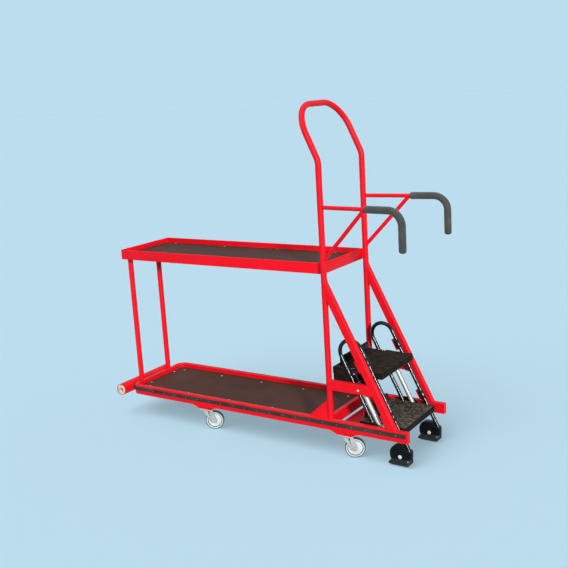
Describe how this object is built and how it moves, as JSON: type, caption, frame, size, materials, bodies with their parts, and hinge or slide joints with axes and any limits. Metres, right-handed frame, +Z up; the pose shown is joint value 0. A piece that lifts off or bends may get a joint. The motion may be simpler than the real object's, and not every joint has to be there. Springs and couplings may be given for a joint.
{
  "type": "step trolley",
  "caption": "Tubular steel picking trolley with a load deck, a shelf, a push hoop, swivel castors and a sprung step ladder with foam grips at one end.",
  "frame": {"origin": "on the floor, under the middle of the overall length and width", "axes": "+X along the trolley towards the steps, +Y across it, away from the long side that the picture shows, +Z up"},
  "size_m": [1.706, 0.496, 1.5914],
  "materials": {
    "red_paint": "gloss signal-red paint",
    "black_paint": "gloss black paint",
    "grit": "black gritty non-slip coating",
    "board": "dark brown phenolic-faced plywood",
    "strip": "dark brown-black matt rubber",
    "foam": "dark grey matt foam rubber",
    "zinc": "bright zinc plate",
    "gas_steel": "polished steel",
    "wheel": "light grey plastic centre with a grey tread",
    "plug": "cream plastic",
    "shoe": "black rubber"
  },
  "bodies": {
    "frame": {"arm_far": "red_paint", "arm_near": "red_paint", "braces": "red_paint", "buffer_strip_far": "strip", "buffer_strip_near": "strip", "bumper_plugs": "plug", "bumper_tube": "red_paint", "castor_channels": "red_paint", "castor_plates": "zinc", "deck_bearers": "red_paint", "deck_board": "board", "deck_end_rail": "red_paint", "deck_front_rail": "red_paint", "deck_rail_far": "red_paint", "deck_rail_near": "red_paint", "deck_screws": "zinc", "frame_bolts": "zinc", "frame_gussets": "red_paint", "gas_cylinders": "gas_steel", "grip_far": "foam", "grip_near": "foam", "guide_bars": "red_paint", "guide_collars": "black_paint", "post_left_far": "red_paint", "post_left_near": "red_paint", "post_right_far": "red_paint", "post_right_near": "red_paint", "push_hoop": "red_paint", "rail_end_caps": "red_paint", "shelf_bearers": "red_paint", "shelf_board": "board", "shelf_rim_far": "red_paint", "shelf_rim_left": "red_paint", "shelf_rim_near": "red_paint", "shelf_rim_right": "red_paint", "shelf_screws": "zinc", "spring_brackets": "black_paint", "stringer_far": "red_paint", "stringer_near": "red_paint", "strip_screws": "zinc", "tie_bars": "red_paint"},
    "ladder": {"foot_bolts": "zinc", "foot_housings": "black_paint", "gas_rods": "gas_steel", "hairpin_far": "black_paint", "hairpin_near": "black_paint", "toe_plates": "grit", "tread_lower": "grit", "tread_upper": "grit"},
    "foot_near": {"foot_shoe_near": "shoe"},
    "foot_far": {"foot_shoe_far": "shoe"},
    "swivel_front_near": {"castor_fork_front_near": "zinc"},
    "wheel_front_near": {"castor_wheel_front_near": "wheel"},
    "swivel_front_far": {"castor_fork_front_far": "zinc"},
    "wheel_front_far": {"castor_wheel_front_far": "wheel"},
    "swivel_rear_near": {"castor_fork_rear_near": "zinc"},
    "wheel_rear_near": {"castor_wheel_rear_near": "wheel"},
    "swivel_rear_far": {"castor_fork_rear_far": "zinc"},
    "wheel_rear_far": {"castor_wheel_rear_far": "wheel"}
  },
  "joints": [
    {"name": "ladder_slide", "type": "slide", "parent": "frame", "child": "ladder", "axis": [0.4462, 0, -0.8949], "range_m": [0, 0.0071], "stiffness_N_per_m": 3000, "springref_m": -0.08},
    {"name": "foot_near_pivot", "type": "hinge", "parent": "ladder", "child": "foot_near", "pos_m": [0.763, -0.154, 0.048], "axis": [0, 1, 0], "range_deg": [-3, 3]},
    {"name": "foot_far_pivot", "type": "hinge", "parent": "ladder", "child": "foot_far", "pos_m": [0.763, 0.154, 0.048], "axis": [0, 1, 0], "range_deg": [-3, 3]},
    {"name": "swivel_front_near_turn", "type": "hinge", "parent": "frame", "child": "swivel_front_near", "pos_m": [-0.296, -0.171, 0.1], "axis": [0, 0, 1], "continuous": true},
    {"name": "wheel_front_near_roll", "type": "hinge", "parent": "swivel_front_near", "child": "wheel_front_near", "pos_m": [-0.26775, -0.15598, 0.046], "axis": [-0.4695, 0.8829, 0], "continuous": true},
    {"name": "swivel_front_far_turn", "type": "hinge", "parent": "frame", "child": "swivel_front_far", "pos_m": [-0.296, 0.171, 0.1], "axis": [0, 0, 1], "continuous": true},
    {"name": "wheel_front_far_roll", "type": "hinge", "parent": "swivel_front_far", "child": "wheel_front_far", "pos_m": [-0.26775, 0.18602, 0.046], "axis": [-0.4695, 0.8829, 0], "continuous": true},
    {"name": "swivel_rear_near_turn", "type": "hinge", "parent": "frame", "child": "swivel_rear_near", "pos_m": [0.505, -0.171, 0.1], "axis": [0, 0, 1], "continuous": true},
    {"name": "wheel_rear_near_roll", "type": "hinge", "parent": "swivel_rear_near", "child": "wheel_rear_near", "pos_m": [0.53325, -0.15598, 0.046], "axis": [-0.4695, 0.8829, 0], "continuous": true},
    {"name": "swivel_rear_far_turn", "type": "hinge", "parent": "frame", "child": "swivel_rear_far", "pos_m": [0.505, 0.171, 0.1], "axis": [0, 0, 1], "continuous": true},
    {"name": "wheel_rear_far_roll", "type": "hinge", "parent": "swivel_rear_far", "child": "wheel_rear_far", "pos_m": [0.53325, 0.18602, 0.046], "axis": [-0.4695, 0.8829, 0], "continuous": true}
  ]
}
